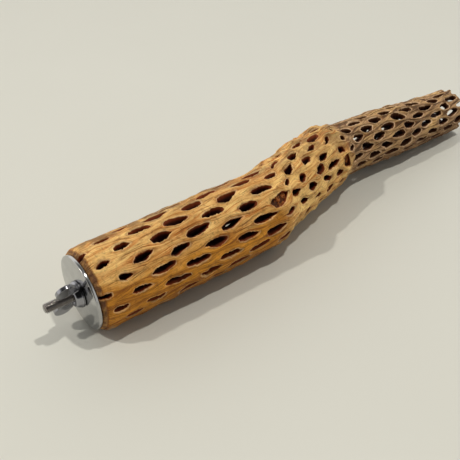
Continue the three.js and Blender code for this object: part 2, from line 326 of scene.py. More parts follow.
@dataclass(frozen=True)
class ChollaWoodFinish:
    """Bare cactus wood: honey brown, then pale at the joint, then weathered grey brown."""

    honey_light: Colour = srgb(255, 212, 132)
    honey_dark: Colour = srgb(196, 110, 28)
    golden_light: Colour = srgb(240, 164, 50)
    golden_dark: Colour = srgb(142, 76, 6)
    amber: Colour = srgb(178, 110, 24)
    weathered: Colour = srgb(122, 92, 58)
    joint_light: Colour = srgb(255, 213, 132)
    joint_dark: Colour = srgb(192, 110, 32)
    grey_light: Colour = srgb(198, 157, 112)
    grey_dark: Colour = srgb(84, 56, 27)
    rim_honey: Colour = srgb(255, 220, 164)
    rim_grey: Colour = srgb(240, 204, 162)
    stain: Colour = srgb(128, 76, 26)
    crack: Colour = srgb(122, 64, 16)
    wall_red: Colour = srgb(132, 56, 16)
    wall_grey: Colour = srgb(92, 52, 24)
    # Painted shade: the black deep inside the holes.
    wall_shade_black: Colour = srgb(54, 16, 6)
    saw_band: Colour = srgb(104, 66, 36)
    saw_pale: Colour = srgb(176, 128, 70)
    # Painted shade: the brown that darkens the lower half near the table.
    underside_shade: Colour = srgb(88, 50, 10)
    joint_at: Range = (122.0, 140.0)
    grey_at: Range = (202.0, 224.0)
    # Heights where the painted shade's deeper golden gives way to paler honey on top.
    lower_shade_at: Range = (32.0, 46.0)
    underside_shade_at: Range = (4.0, 24.0)
    back_at: Range = (-3.0, 12.0)
    band_at: Range = (4.2, 4.7)
    band_waver: float = 2.0
    band_line: float = 0.55
    wander: float = 16.0
    cloud_scale: float = 70.0
    saw_scale: float = 260.0
    amber_patches: Patches = (45.0, 3, 0.42, 0.7)
    dull_patches: Patches = (60.0, 4, 0.4, 0.6)
    speck_patches: Patches = (430.0, 4, 0.5, 0.7)
    stain_patches: Patches = (230.0, 3, 0.46, 0.62)
    pale_rim_patches: Patches = (160.0, 3, 0.34, 0.6)
    end_patches: Patches = (900.0, 3, 0.35, 0.65)
    saw_tones: Range = (0.4, 0.65)
    streak_tones: Range = (0.36, 0.58)
    fibre_tones: Range = (0.38, 0.58)
    between_rims: Range = (0.8, 2.2)
    stain_reach: Range = (0.2, 2.4)
    rim_reach: Range = (0.25, 1.1)
    wall_begins: Range = (0.2, 0.7)
    wall_shade_depths: Range = (1.0, 4.0)
    fibre_share: float = 0.4
    amber_share: float = 0.5
    honey_dull: float = 0.85
    joint_dull: float = 0.62
    gold_share: float = 0.45
    between_share: float = 0.85
    speck_share: float = 0.4
    stain_share: float = 0.6
    pale_rim_least: float = 0.25
    rim_share: Range = (0.45, 0.9)
    crack_share: float = 0.7
    underside_shade_share: float = 0.5
    line_share: float = 0.75
    roughness: Range = (0.62, 0.86)
    specular: float = 0.35
    crack_depth: float = -1.1
    bump: float = 0.7

    def material(self, axis: BoltAxis, grain: NodeTree) -> Material:
        """Build the wood.

        Args:
            axis: The bolt axis, which the stem's lengths are counted from.
            grain: The long grain group.

        Returns:
            The material.
        """
        material, g, shader = start_material("Cholla wood")
        place = g.place()
        lines = g.group(grain, {"Vector": g.attribute("grain", "Vector")})
        rim, depth = g.attribute("rim"), g.attribute("depth")
        x, y, z = g.split(place)
        along = g.math("SUBTRACT", g.math("DIVIDE", x, MM), axis.face_x)
        cloud = g.math("SUBTRACT", g.noise(place, self.cloud_scale, 4), 0.5)
        wandered = g.math("MULTIPLY_ADD", cloud, self.wander, along)
        high = g.math("MULTIPLY_ADD", cloud, self.wander, g.math("DIVIDE", z, MM))
        grey = g.remap(wandered, *self.grey_at)
        streak = g.remap(lines["Streak"], *self.streak_tones)
        fibre = g.remap(lines["Fibre"], *self.fibre_tones)
        tone = g.math("MULTIPLY_ADD", fibre, self.fibre_share, g.times(streak, 1 - self.fibre_share))
        golden = g.mix(tone, self.golden_dark, self.golden_light)
        patch = g.patches(place, self.amber_patches)
        back = g.remap(y, *((axis.y + off) * MM for off in self.back_at))
        dull = g.times(back, g.patches(place, self.dull_patches))

        # The bare wood of the three lengths, with painted shade that turns the near length a deeper, darker
        # golden lower down.
        honey = g.mix(tone, self.honey_dark, self.honey_light)
        # Painted shade: below the top, the near length's wood turns a deeper, darker golden.
        honey = g.mix(g.remap(high, *self.lower_shade_at), golden, honey)
        honey = g.mix(g.times(patch, self.amber_share), honey, self.amber)
        honey = g.mix(g.times(dull, self.honey_dull), honey, self.weathered)
        pale = g.mix(tone, self.joint_dark, self.joint_light)
        pale = g.mix(g.times(dull, self.joint_dull), pale, self.weathered)
        ashen = g.mix(tone, self.grey_dark, self.grey_light)
        gilded = g.mix(tone, self.golden_dark, self.honey_light)
        ashen = g.mix(g.times(patch, self.gold_share), ashen, gilded)
        furrow = g.remap(streak, 0.2, 0.8, self.between_share, 0.0)
        ashen = g.mix(g.times(g.remap(rim, *self.between_rims), furrow), ashen, self.grey_dark)
        skin = g.mix(grey, g.mix(g.remap(wandered, *self.joint_at), honey, pale), ashen)

        # Specks, stains and pale rims round the holes, cracks, and painted shade that browns the lower half
        # towards the table.
        specks = g.times(g.patches(place, self.speck_patches), self.speck_share)
        skin = g.mix(specks, skin, self.crack)
        spots = g.times(g.patches(place, self.stain_patches), self.stain_share)
        skin = g.mix(g.times(g.remap(rim, *self.stain_reach, 1.0, 0.0), spots), skin, self.stain)
        # Pale rims round the holes, in patches, paler on the grey far length.
        pale_rim_patch = g.patches(place, self.pale_rim_patches, self.pale_rim_least)
        edge = g.times(g.remap(rim, *self.rim_reach, 1.0, 0.0), pale_rim_patch)
        edge = g.times(edge, g.remap(grey, 0.0, 1.0, *self.rim_share))
        skin = g.mix(edge, skin, g.mix(grey, self.rim_honey, self.rim_grey))
        tails = g.math("MAXIMUM", lines["Crack"], g.attribute("tail"))
        skin = g.mix(g.times(tails, self.crack_share), skin, self.crack)
        # Painted shade: the wood turns brown towards the table, darkest at the bottom.
        skin = g.mix(g.remap(high, *self.underside_shade_at, self.underside_shade_share, 0.0), skin, self.underside_shade)

        # The sawn bevel behind the washer, the walls of the holes, which painted shade blackens deeper in,
        # and the sawn ends.
        rough = g.noise(place, self.saw_scale, 4)
        near = g.math("MULTIPLY_ADD", g.math("SUBTRACT", rough, 0.5), self.band_waver, along)
        sawn = g.mix(g.remap(rough, *self.saw_tones), self.saw_band, self.saw_pale)
        skin = g.mix(g.remap(near, *self.band_at), sawn, skin)
        off_edge = g.math("ABSOLUTE", g.math("SUBTRACT", near, self.band_at[1]))
        skin = g.mix(g.remap(off_edge, 0.0, self.band_line, self.line_share, 0.0), skin, self.crack)
        wall = g.mix(grey, self.wall_red, self.wall_grey)
        # Painted shade: the red-brown hole walls turn black the deeper they go.
        wall = g.mix(g.remap(depth, *self.wall_shade_depths), wall, self.wall_shade_black)
        colour = g.mix(g.remap(depth, *self.wall_begins), skin, wall)
        end_grain = g.mix(g.patches(place, self.end_patches), self.saw_band, self.saw_pale)
        g.feed(shader.inputs["Base Color"], g.mix(g.attribute("sawn"), colour, end_grain))

        g.feed(shader.inputs["Roughness"], g.remap(lines["Fibre"], 0.2, 0.8, *self.roughness))
        g.feed(shader.inputs["Specular IOR Level"], self.specular)
        relief = g.math("MULTIPLY_ADD", lines["Crack"], self.crack_depth, lines["Fibre"])
        g.bump(shader, g.math("ADD", relief, lines["Streak"]), 1.0, self.bump)
        return material


@dataclass(frozen=True)
class PlainWoodFinish:
    """Rough wood that is only seen through holes: the plug and the pith, whose crumbs are paler."""

    name: str
    light: Colour
    dark: Colour
    crumb_share: float = 0.0
    spacing: float = 900.0
    speck_patches: Patches = (900.0, 3, 0.35, 0.7)
    roughness: Range = (0.75, 0.95)
    bump: float = 0.3

    def material(self, grain: NodeTree) -> Material:
        """Build the wood.

        Args:
            grain: The long grain group.

        Returns:
            The material.
        """
        material, g, shader = start_material(self.name)
        place = g.place()
        lines = g.group(grain, {"Vector": place, "Spacing": self.spacing})
        speck = g.patches(place, self.speck_patches)
        tone = g.times(g.math("ADD", lines["Streak"], speck), 0.5)
        plain = g.times(tone, 1 - self.crumb_share)
        share = g.math("MULTIPLY_ADD", g.attribute("crumb"), self.crumb_share, plain)
        g.feed(shader.inputs["Base Color"], g.mix(share, self.dark, self.light))
        g.feed(shader.inputs["Roughness"], g.remap(speck, 0.0, 1.0, *self.roughness))
        g.bump(shader, tone, 0.6, self.bump)
        return material


@dataclass(frozen=True)
class SteelFinish:
    """Bright stainless steel with a little handling wear."""

    name: str
    colour: Colour
    base: float
    smudge: float
    scuff: float
    strength: float
    bump: float = 0.05

    def material(self, marks: NodeTree) -> Material:
        """Build the metal.

        Args:
            marks: The handling marks group.

        Returns:
            The material.
        """
        material, g, shader = start_material(self.name)
        wear = g.group(marks, {
            "Vector": g.place(), "Base": self.base, "Smudge": self.smudge, "Scuff": self.scuff})
        grey = g.put("ShaderNodeCombineColor", {k: wear["Tone"] for k in range(3)}).outputs[0]
        g.feed(shader.inputs["Base Color"], g.mix(1.0, self.colour, grey, "MULTIPLY"))
        g.feed(shader.inputs["Roughness"], wear["Roughness"])
        g.feed(shader.inputs["Metallic"], 1.0)
        g.bump(shader, wear["Height"], self.strength, self.bump)
        return material


def dress(mesh: Mesh, finish: Material) -> None:
    """Give a mesh one finish."""
    mesh.materials.clear()
    mesh.materials.append(finish)


def add_piece(mesh: Mesh, finish: Material) -> Object:
    """Put a mesh in the scene as an object at the origin.

    Args:
        mesh: The mesh, placed in the frame.
        finish: Its finish.

    Returns:
        The object.
    """
    piece = bpy.data.objects.new(mesh.name, mesh)
    bpy.context.scene.collection.objects.link(piece)
    dress(mesh, finish)
    return piece


def bake_modifiers(piece: Object) -> None:
    """Turn a piece's evaluated shape into its plain mesh and drop its modifiers.

    Args:
        piece: The object.
    """
    evaluated = piece.evaluated_get(bpy.context.evaluated_depsgraph_get())
    shaped = bpy.data.meshes.new_from_object(evaluated)
    plain = piece.data
    piece.modifiers.clear()
    piece.data = shaped
    bpy.data.meshes.remove(plain)
    shaped.name = piece.name


def run_tree(piece: Object, tree: NodeTree, values: dict) -> None:
    """Run a geometry tree on a piece and keep its result as a plain mesh.

    Args:
        piece: The object to shape.
        tree: The geometry tree.
        values: The tree's inputs by name.
    """
    sockets = {item.name: item for item in tree.interface.items_tree if item.in_out == "INPUT"}
    modifier = piece.modifiers.new(tree.name, "NODES")
    modifier.node_group = tree
    for label, value in values.items():
        modifier[sockets[label].identifier] = value
    bake_modifiers(piece)


def closed_mesh(bm: bmesh.types.BMesh, name: str) -> Mesh:
    """Turn a closed body's faces outwards and make it a mesh.

    Args:
        bm: The body, which is freed.
        name: The mesh's name.

    Returns:
        The mesh.
    """
    bmesh.ops.recalc_face_normals(bm, faces=bm.faces)
    mesh = bpy.data.meshes.new(name)
    bm.to_mesh(mesh)
    bm.free()
    return mesh


def turned_mesh(name: str, profile: list[Spot], sides: int, axis: BoltAxis) -> Mesh:
    """Turn a closed profile round the bolt axis.

    Args:
        name: The mesh's name.
        profile: Points of radius and place along x, from the inner start round to the inner end.
        sides: Faces round the axis.
        axis: The bolt axis.

    Returns:
        The mesh, in metres in the frame.
    """
    bm = bmesh.new()
    turns = [math.tau * k / sides for k in range(sides)]
    rings = [
        [bm.verts.new(((x + axis.face_x) * MM, (axis.y + radius * math.cos(a)) * MM,
                       (axis.z + radius * math.sin(a)) * MM)) for a in turns]
        for radius, x in profile]
    for first, second in zip(rings, rings[1:] + rings[:1]):
        for k in range(sides):
            after = (k + 1) % sides
            bm.faces.new((first[k], second[k], second[after], first[after]))
    bmesh.ops.remove_doubles(bm, verts=bm.verts, dist=1e-7)
    bmesh.ops.dissolve_degenerate(bm, edges=bm.edges, dist=1e-8)
    return closed_mesh(bm, name)


def smooth_with_edges(mesh: Mesh, degrees: float) -> None:
    """Shade a mesh smooth and keep edges sharper than an angle."""
    mesh.shade_smooth()
    mesh.set_sharp_from_angle(angle=math.radians(degrees))


@dataclass(frozen=True)
class StemCourse:
    """The stem's middle line, outer radius and wall along its length. Each place is x, y, z and radius."""

    places: tuple[tuple[float, float, float, float], ...] = (
        (2.3, 0.0, 24.2, 24.7),
        (50.0, 0.0, 24.4, 25.0),
        (95.0, 0.0, 24.6, 25.2),
        (118.0, 0.0, 24.9, 25.0),
        (134.0, 0.6, 25.2, 24.4),
        (146.0, 5.1, 25.2, 23.2),
        (182.0, 14.6, 26.1, 22.3),
        (206.0, 21.8, 25.2, 21.5),
        (226.0, 26.6, 21.8, 18.9),
        (275.0, 25.8, 19.6, 18.5),
        (325.0, 25.3, 16.4, 16.8),
        (346.0, 25.8, 15.8, 16.4),
    )
    thick_wall: float = 8.0
    thin_wall: float = 4.6
    thinning: Range = (150.0, 235.0)

    @property
    def near(self) -> float:
        """Where the near end is sawn."""
        return self.places[0][0]

    @property
    def far(self) -> float:
        """Where the far end is sawn."""
        return self.places[-1][0]

    def value(self, column: int, place: np.ndarray) -> np.ndarray:
        """Read the course by a cubic through neighbouring places.

        Args:
            column: 1 for y, 2 for z, 3 for the radius.
            place: Where along x.

        Returns:
            The values there.
        """
        table = np.array(self.places)
        xs, ys = table[:, 0], table[:, column]
        last = len(xs) - 1
        x = np.clip(place, xs[0], xs[-1])
        i = np.clip(np.searchsorted(xs, x) - 1, 0, last - 1)
        lower, upper = np.maximum(np.arange(last + 1) - 1, 0), np.minimum(np.arange(last + 1) + 1, last)
        slope = (ys[upper] - ys[lower]) / (xs[upper] - xs[lower])
        span = xs[i + 1] - xs[i]
        t = (x - xs[i]) / span
        h = 3 * t**2 - 2 * t**3
        bend_out = t * (1 - t) ** 2 * span * slope[i]
        bend_in = t**2 * (t - 1) * span * slope[i + 1]
        return ys[i] * (1 - h) + ys[i + 1] * h + bend_out + bend_in

    def thinned(self, x: np.ndarray) -> np.ndarray:
        """How far the wall at x has gone from thick to thin."""
        return ease(x, *self.thinning)

    def wall(self, x: np.ndarray) -> np.ndarray:
        """How thick the wall is at x."""
        return self.thick_wall + (self.thin_wall - self.thick_wall) * self.thinned(x)


@dataclass(frozen=True)
class Knot:
    """A raised oval scar round an open pit."""

    x: float
    angle: float
    length: float
    width: float
    rise: float
    reach: float
    slant: float
    lip: float = 0.0
    filled: bool = False


KNOTS = (
    Knot(130, 42, 15, 8.8, 1.3, 13, -6, lip=1.4, filled=True),
    Knot(205, 54, 12, 7.4, 2.2, 14, 8, lip=1.0, filled=True),
    Knot(200, 2, 14, 5.6, 1.4, 12, -24, lip=0.4),
    Knot(178, -62, 10, 5, 1, 15, 0),
    Knot(275, 21, 12.6, 6.2, 0.7, 9, 12, lip=0.8),
    Knot(274.5, 88, 12.6, 5.8, 0.4, 9, -14, lip=0.3),
)


@dataclass
class Holes:
    """The spiral of lens-shaped holes that climbs the stem. Its course is x, step, twist, length, width."""

    turn: float = 64.22
    slant_up: int = 11
    slant_down: int = 17
    first_x: float = 1.5
    first_angle: float = 231.2
    spare: int = 30
    tilt: float = 4.0
    place_jitter: float = 0.6
    size_jitter: float = 0.1
    seed: int = 11
    draw_factor: int = 16807
    draw_limit: int = 2147483647
    course: tuple[tuple[float, float, float, float, float], ...] = (
        (0.0, 1.306, 0.0, 6.0, 3.2),
        (45.0, 1.306, 0.0, 15.0, 4.8),
        (126.0, 1.306, 0.0, 16.5, 4.8),
        (142.0, 0.95, -0.12, 7.4, 3.6),
        (208.0, 0.95, -0.12, 7.4, 3.6),
        (224.0, 1.146, 0.0, 12.4, 4.4),
        (346.0, 1.146, 0.0, 12.4, 4.4),
    )

    def value(self, column: int, x: float) -> float:
        """Read the course: 1 step, 2 twist, 3 length, 4 width."""
        table = np.array(self.course)
        return float(np.interp(x, table[:, 0], table[:, column]))

    def draws(self) -> Iterator[float]:
        """Draw repeatable numbers.

        Returns:
            An endless run of numbers between -1 and 1.
        """
        state = self.seed
        while True:
            state = state * self.draw_factor % self.draw_limit
            yield 2 * state / self.draw_limit - 1

    def spiral(self, stem: StemCourse) -> np.ndarray:
        """Lay out the holes.

        Args:
            stem: The stem's course.

        Returns:
            One row for each hole: x, angle, length, width, slant.
        """
        draw = self.draws()
        x = self.first_x - self.spare * self.value(1, 0)
        angle = self.first_angle - self.spare * self.turn
        beyond = stem.far + self.spare * self.value(1, stem.far)
        rows = []
        while x < beyond:
            rows.append((
                x + self.place_jitter * next(draw),
                angle + self.place_jitter * next(draw),
                self.value(3, x) * (1 + self.size_jitter * next(draw)),
                self.value(4, x) * (1 + self.size_jitter * next(draw)),
                self.tilt * next(draw),
            ))
            angle += self.turn + self.value(2, x)
            x += self.value(1, x)
        holes = np.array(rows)
        for knot in KNOTS:
            knot_hole(knot, holes, stem)[2:] = (knot.length, knot.width, knot.slant)
        return holes


def wrap_degrees(angle: np.ndarray) -> np.ndarray:
    """Bring an angle between -180 and 180 degrees."""
    return (angle + 180) % 360 - 180


def knot_distance(knot: Knot, x: np.ndarray, angle: np.ndarray, stem: StemCourse) -> np.ndarray:
    """How far places on the skin are from a knot."""
    across = np.radians(wrap_degrees(angle - knot.angle)) * stem.value(3, np.asarray(x))
    return np.hypot(x - knot.x, across)


def knot_hole(knot: Knot, holes: np.ndarray, stem: StemCourse) -> np.ndarray:
    """Find the row of the hole that a knot takes."""
    return holes[np.argmin(knot_distance(knot, holes[:, 0], holes[:, 1], stem))]


@dataclass
class ChollaStem:
    """The stem: a net of strands round lens-shaped holes, modelled as one closed body."""

    axis: BoltAxis
    stem: StemCourse
    holes: Holes
    edge_steps: tuple[int, ...] = (3, 7, 7, 3, 7, 7)
    skin_rings: tuple[float, ...] = (1.0, 0.74, 0.5, 0.3, 0.12, 0.03, 0.0)
    rim_drop: tuple[float, ...] = (0.0, 0.0, 0.0, -0.04, -0.08, 0.02, 0.3)
    wall_depths: tuple[float, ...] = (0.4, 0.97)
    inner_size_near: float = 0.18
    inner_size_far: float = 0.78
    ends: Range = (0.76, 1.3)
    waves: int = 4
    wobble: float = 0.1
    skew: float = 0.05
    ragged: float = 0.18
    far_width: float = 1.14
    far_widens: Range = (205.0, 230.0)
    joint_begins: Range = (124.0, 146.0)
    joint_stops: Range = (204.0, 224.0)
    joint_shift: Spot = (1.1, 0.8)
    joint_scatter: float = 0.6
    joint_tilt: float = 5.0
    joint_size: float = 0.25
    joint_growth: float = 0.12
    joint_limits: Range = (0.65, 1.5)
    crown_near: float = 0.3
    crown_joint: float = 0.9
    crown_far: float = 0.75
    crown_full: float = 0.8
    tail_width: float = 0.34
    tail_begins: float = 0.92
    tail_rises: float = 0.8
    tail_fades: Range = (1.0, 5.0)
    tail_groove: float = 0.25
    lip_at: float = 1.35
    lip_width: float = 0.4
    bevel_radius: float = 22.2
    bevel_slope: float = 0.76
    bevel_depth: float = 3.0
    merge: float = 0.002
    lump_least: float = 0.48
    lump_height: float = 6.5
    lump_spacing: float = 11.0
    ridge_height: float = 1.9
    ridge_spacing: float = 2.6
    ridge_stretch: float = 0.12
    sharp: float = 55.0
    shape_seed: int = 5
    weather_seed: int = 3

    def __post_init__(self) -> None:
        """Lay out the holes once."""
        self.spiral = self.holes.spiral(self.stem)

    def cell_corners(self, holes: np.ndarray, base: np.ndarray) -> tuple[np.ndarray, np.ndarray]:
        """Find the six corners of each hole's cell, midway between neighbouring holes.

        Args:
            holes: The spiral of holes.
            base: The numbers of the holes that get a cell.

        Returns:
            Offsets in x and in angle from each hole, by hole and corner.
        """
        up, down = self.holes.slant_up, self.holes.slant_down
        ring = (up, down, down - up, -up, -down, up - down)
        dx = np.stack([holes[base + k, 0] - holes[base, 0] for k in ring], 1)
        da = np.stack([wrap_degrees(holes[base + k, 1] - holes[base, 1]) for k in ring], 1)
        return (dx + np.roll(dx, -1, 1)) / 3, (da + np.roll(da, -1, 1)) / 3

    def cell_outline(self, corners: np.ndarray) -> np.ndarray:
        """Divide each cell's edges into short steps.

        Args:
            corners: The corners in x or in angle, by hole and corner.

        Returns:
            The outline, by hole and point.
        """
        after = np.roll(corners, -1, 1)
        steps = [
            corners[:, e] + (after[:, e] - corners[:, e]) * k / count
            for e, count in enumerate(self.edge_steps) for k in range(count)]
        return np.stack(steps, 1)

    def rim_outline(self, holes: np.ndarray, u: np.ndarray, v: np.ndarray) -> tuple[np.ndarray, np.ndarray]:
        """Shape each hole's rim: a lens with pointed tips and a hand-drawn wobble.

        Args:
            holes: The holes that get a rim.
            u: Cell outline along the stem, from the hole's middle.
            v: Cell outline round the stem, from the hole's middle.

        Returns:
            The rim along and round the stem, point by point with the cell outline.
        """
        rng = np.random.default_rng(self.shape_seed)
        count = len(holes)
        phase = rng.uniform(0, math.tau, (count, self.waves, 1))
        skew = rng.normal(-self.skew, self.skew, (count, 1))
        ends = rng.uniform(*self.ends, (count, 2))
        reach_u, reach_v = (np.abs(side).max(1, keepdims=True) for side in (u, v))
        theta = np.arctan2(v / reach_v, u / reach_u)
        waves = sum(np.sin((k + 2) * theta + phase[:, k]) / (k + 1) for k in range(self.waves))
        joint = self.joint_share(holes[:, 0:1])
        grown = self.joint_growth + self.joint_size * rng.normal(0, 1, (count, 1))
        scale = np.clip(1 + joint * grown, *self.joint_limits)
        size = scale * (1 + self.wobble * waves)
        wider = 1 + (self.far_width - 1) * ease(holes[:, 0:1], *self.far_widens)
        half_length, half_width = holes[:, 2:3] / 2, holes[:, 3:4] / 2 * wider
        along = half_length * np.cos(theta) * size + skew * holes[:, 2:3] * np.sin(theta) ** 2
        point = np.where(np.cos(theta) > 0, ends[:, :1], ends[:, 1:])
        round_ = half_width * np.sign(np.sin(theta)) * np.abs(np.sin(theta)) ** point * size
        along = along + self.ragged * rng.normal(0, 1, along.shape)
        round_ = round_ + self.ragged * rng.normal(0, 1, along.shape)
        tilt = np.radians(holes[:, 4:5]) * (1 + self.joint_tilt * joint)
        shift_u, shift_v = (
            reach * joint * rng.normal(0, self.joint_scatter, (count, 1)) for reach in self.joint_shift)
        return (along * np.cos(tilt) - round_ * np.sin(tilt) + shift_u,
                along * np.sin(tilt) + round_ * np.cos(tilt) + shift_v)

    def joint_share(self, x: np.ndarray) -> np.ndarray:
        """How far a place belongs to the knobbly joint between the two stem lengths."""
        return ease(x, *self.joint_begins) * (1 - ease(x, *self.joint_stops))

    def skin_radius(self, x: np.ndarray, angle: np.ndarray) -> np.ndarray:
        """Find the skin's radius with the knots' swellings and the bevel at the near end.

        Args:
            x: Places along the stem.
            angle: Places round it.

        Returns:
            The radius at each place.
        """
        middle = self.stem.value(3, x)
        radius = middle
        for knot in KNOTS:
            reach = knot_distance(knot, x, angle, self.stem) / knot.reach
            radius = radius + knot.rise * np.exp(-2 * reach**2)
            hole = knot_hole(knot, self.spiral, self.stem)
            across = np.radians(wrap_degrees(angle - hole[1])) * middle
            oval = np.hypot((x - hole[0]) / knot.length, across / knot.width) * 2
            radius = radius + knot.lip * np.exp(-(((oval - self.lip_at) / self.lip_width) ** 2))
        bevel = self.bevel_radius + self.bevel_slope * (x - self.stem.near)
        return np.minimum(radius, np.maximum(bevel, self.bevel_radius - self.bevel_depth))

    def place(self, x: np.ndarray, angle: np.ndarray, radius: np.ndarray) -> np.ndarray:
        """Turn places round the stem into points of the frame.

        Args:
            x: Places along the stem.
            angle: Places round it.
            radius: How far they are from its middle line.

        Returns:
            The points, in metres.
        """
        turn = np.radians(angle)
        return np.stack([
            x + self.axis.face_x,
            self.stem.value(1, x) - radius * np.sin(turn) + self.axis.y,
            self.stem.value(2, x) + radius * np.cos(turn),
        ], -1) * MM

    def rings(self) -> dict[str, np.ndarray]:
        """Lay out every cell's rings, from the cell's outline over the rim and down the wall to the hollow.

        Returns:
            Arrays by name, by cell, ring and point: x, angle, depth, rim, flow, crown, tail.
        """
        holes = self.spiral
        base = np.arange(self.holes.slant_down, len(holes) - self.holes.slant_down)
        corner_x, corner_a = self.cell_corners(holes, base)
        u = self.cell_outline(corner_x)
        site = holes[base]
        radius = self.stem.value(3, site[:, 0])[:, None]
        v = np.radians(self.cell_outline(corner_a)) * radius
        rim_u, rim_v = self.rim_outline(site, u, v)
        wall = self.stem.wall(site[:, 0])[:, None]
        half_length = np.abs(rim_u).max(1, keepdims=True)
        cracked = np.random.default_rng(self.shape_seed + 1).uniform(0, 1, half_length.shape)
        growth = self.inner_size_far - self.inner_size_near
        inner = self.inner_size_near + growth * self.stem.thinned(site[:, 0:1])
        # How far out from the rim to the cell's outline, how large the rim is, and how deep it lies.
        steps = [(t, 1.0, drop) for t, drop in zip(self.skin_rings, self.rim_drop)]
        steps += [(0.0, 1 - (1 - inner) * share**2, share * wall) for share in self.wall_depths]
        steps.append((1.0, inner, wall))
        rows = []
        for t, shrink, depth in steps:
            ring_u = rim_u * shrink * (1 - t) + u * t
            ring_v = rim_v * shrink * (1 - t) + v * t
            flow = ring_v - rim_v * (1 - t)
            beyond = np.abs(ring_u) - half_length * self.tail_begins
            tail = np.exp(-((flow / self.tail_width) ** 2)) * ease(beyond, 0.0, self.tail_rises)
            rows.append({
                "x": ring_u, "angle": ring_v, "flow": flow,
                "depth": np.broadcast_to(depth, u.shape),
                "rim": t * np.hypot(u - rim_u, v - rim_v),
                "crown": np.full(u.shape, ease(np.array(t), 0.0, self.crown_full)),
                "tail": tail * (1 - ease(beyond, *self.tail_fades)) * cracked})
        laid = {key: np.stack([row[key] for row in rows], 1) for key in rows[0]}
        laid["x"] = site[:, 0, None, None] + laid["x"]
        for key in ("angle", "flow"):
            laid[key] = site[:, 1, None, None] + np.degrees(laid[key] / radius[:, :, None])
        return laid

    def net_mesh(self) -> Mesh:
        """Wrap the rings round the stem's course and join them into a mesh.

        Returns:
            The mesh, open at both ends, with attributes for its finish.
        """
        laid = self.rings()
        shape = laid["x"].shape
        x, angle, depth, rim, tail, crown, flow = (
            laid[key].ravel() for key in ("x", "angle", "depth", "rim", "tail", "crown", "flow"))
        depth = np.minimum(depth, self.stem.wall(x))
        joint = self.joint_share(x)
        height = self.crown_near + (self.crown_far - self.crown_near) * self.stem.thinned(x)
        height = height + (self.crown_joint - height) * joint
        on_skin = np.exp(-np.maximum(depth, 0.0))
        tail = tail * on_skin
        crown = crown * height - tail * self.tail_groove
        co = self.place(x, angle, self.skin_radius(x, angle) + crown * on_skin - depth)
        number = np.arange(x.size).reshape(shape)
        after = np.roll(number, -1, 2)
        quads = np.stack([number[:, :-1], number[:, 1:], after[:, 1:], after[:, :-1]], -1).reshape(-1, 4)
        mesh = bpy.data.meshes.new("cholla_skeleton")
        mesh.from_pydata(co.tolist(), [], quads.tolist())
        lump = self.lump_least + (1 - self.lump_least) * joint
        values = {"rim": rim, "depth": depth, "lump": lump, "skin": on_skin, "tail": tail}
        for name, value in values.items():
            mesh.attributes.new(name, "FLOAT", "POINT").data.foreach_set("value", value.astype(np.float32))
        turn, middle = np.radians(flow), self.stem.value(3, x)
        grain = np.stack([x, middle * np.cos(turn), middle * np.sin(turn)], 1) * MM
        mesh.attributes.new("grain", "FLOAT_VECTOR", "POINT").data.foreach_set(
            "vector", grain.astype(np.float32).ravel())
        return mesh

    def saw_ends(self, mesh: Mesh) -> None:
        """Merge the cells, saw both ends off square and close the cuts.

        Args:
            mesh: The net, which is changed.
        """
        bm = bmesh.new()
        bm.from_mesh(mesh)
        bmesh.ops.remove_doubles(bm, verts=bm.verts, dist=self.merge * MM)
        sawn = bm.faces.layers.float.new("sawn")
        for place, side in ((self.stem.near, -1), (self.stem.far, 1)):
            plane = Vector(((place + self.axis.face_x) * MM, 0, 0))
            everything = bm.verts[:] + bm.edges[:] + bm.faces[:]
            cut = bmesh.ops.bisect_plane(
                bm, geom=everything, dist=1e-7, plane_co=plane, plane_no=(side, 0, 0), clear_outer=True)
            edges = [item for item in cut["geom_cut"] if isinstance(item, bmesh.types.BMEdge)]
            made = bmesh.ops.triangle_fill(bm, edges=edges, use_beauty=True)
            for face in (item for item in made["geom"] if isinstance(item, bmesh.types.BMFace)):
                face[sawn] = 1.0
                face.normal_update()
                if face.normal.x * side < 0:
                    face.normal_flip()
        bm.to_mesh(mesh)
        bm.free()

    def weather_tree(self, material: Material) -> NodeTree:
        """Build the geometry tree that weathers the skin: lumps at the joint and ridges along the grain.

        Args:
            material: The finish to set.

        Returns:
            The tree.
        """
        g, source, sink = start_tree(
            "Weathered skin", "Lump Height", "Lump Spacing", "Ridge Height", "Ridge Spacing", "Seed")

        def named(name: str, kind: str = "FLOAT") -> NodeSocket:
            """Read one of the mesh's attributes."""
            node = g.put("GeometryNodeInputNamedAttribute", {"Name": name}, data_type=kind)
            return node.outputs["Attribute"]

        def waves(vector: NodeSocket, label: str, detail: float, rough: float) -> NodeSocket:
            """Make noise round 0.

            Args:
                vector: Where it is read.
                label: Whose spacing and height it takes, Lump or Ridge.
                detail: Its octaves.
                rough: How strong the finer octaves are.

            Returns:
                The height.
            """
            spaced = g.scaled(vector, g.math("DIVIDE", 1.0, source[f"{label} Spacing"]))
            shifted = g.vector("ADD", spaced, g.combine(source["Seed"], source["Seed"], 0.0))
            height = g.math("SUBTRACT", g.noise(shifted, 1.0, detail, rough), 0.5)
            return g.times(height, source[f"{label} Height"])

        place = g.put("GeometryNodeInputPosition").outputs[0]
        lumps = g.times(waves(place, "Lump", 2, 0.45), named("lump"))
        drawn = g.vector("MULTIPLY", named("grain", "FLOAT_VECTOR"), (self.ridge_stretch, 1.0, 1.0))
        lift = g.times(g.math("ADD", lumps, waves(drawn, "Ridge", 3, 0.5)), named("skin"))
        offset = g.scaled(g.put("GeometryNodeInputNormal").outputs[0], lift)
        moved = g.put("GeometryNodeSetPosition", {"Geometry": source["Geometry"], "Offset": offset})
        return finish_tree(g, sink, moved.outputs[0], material)

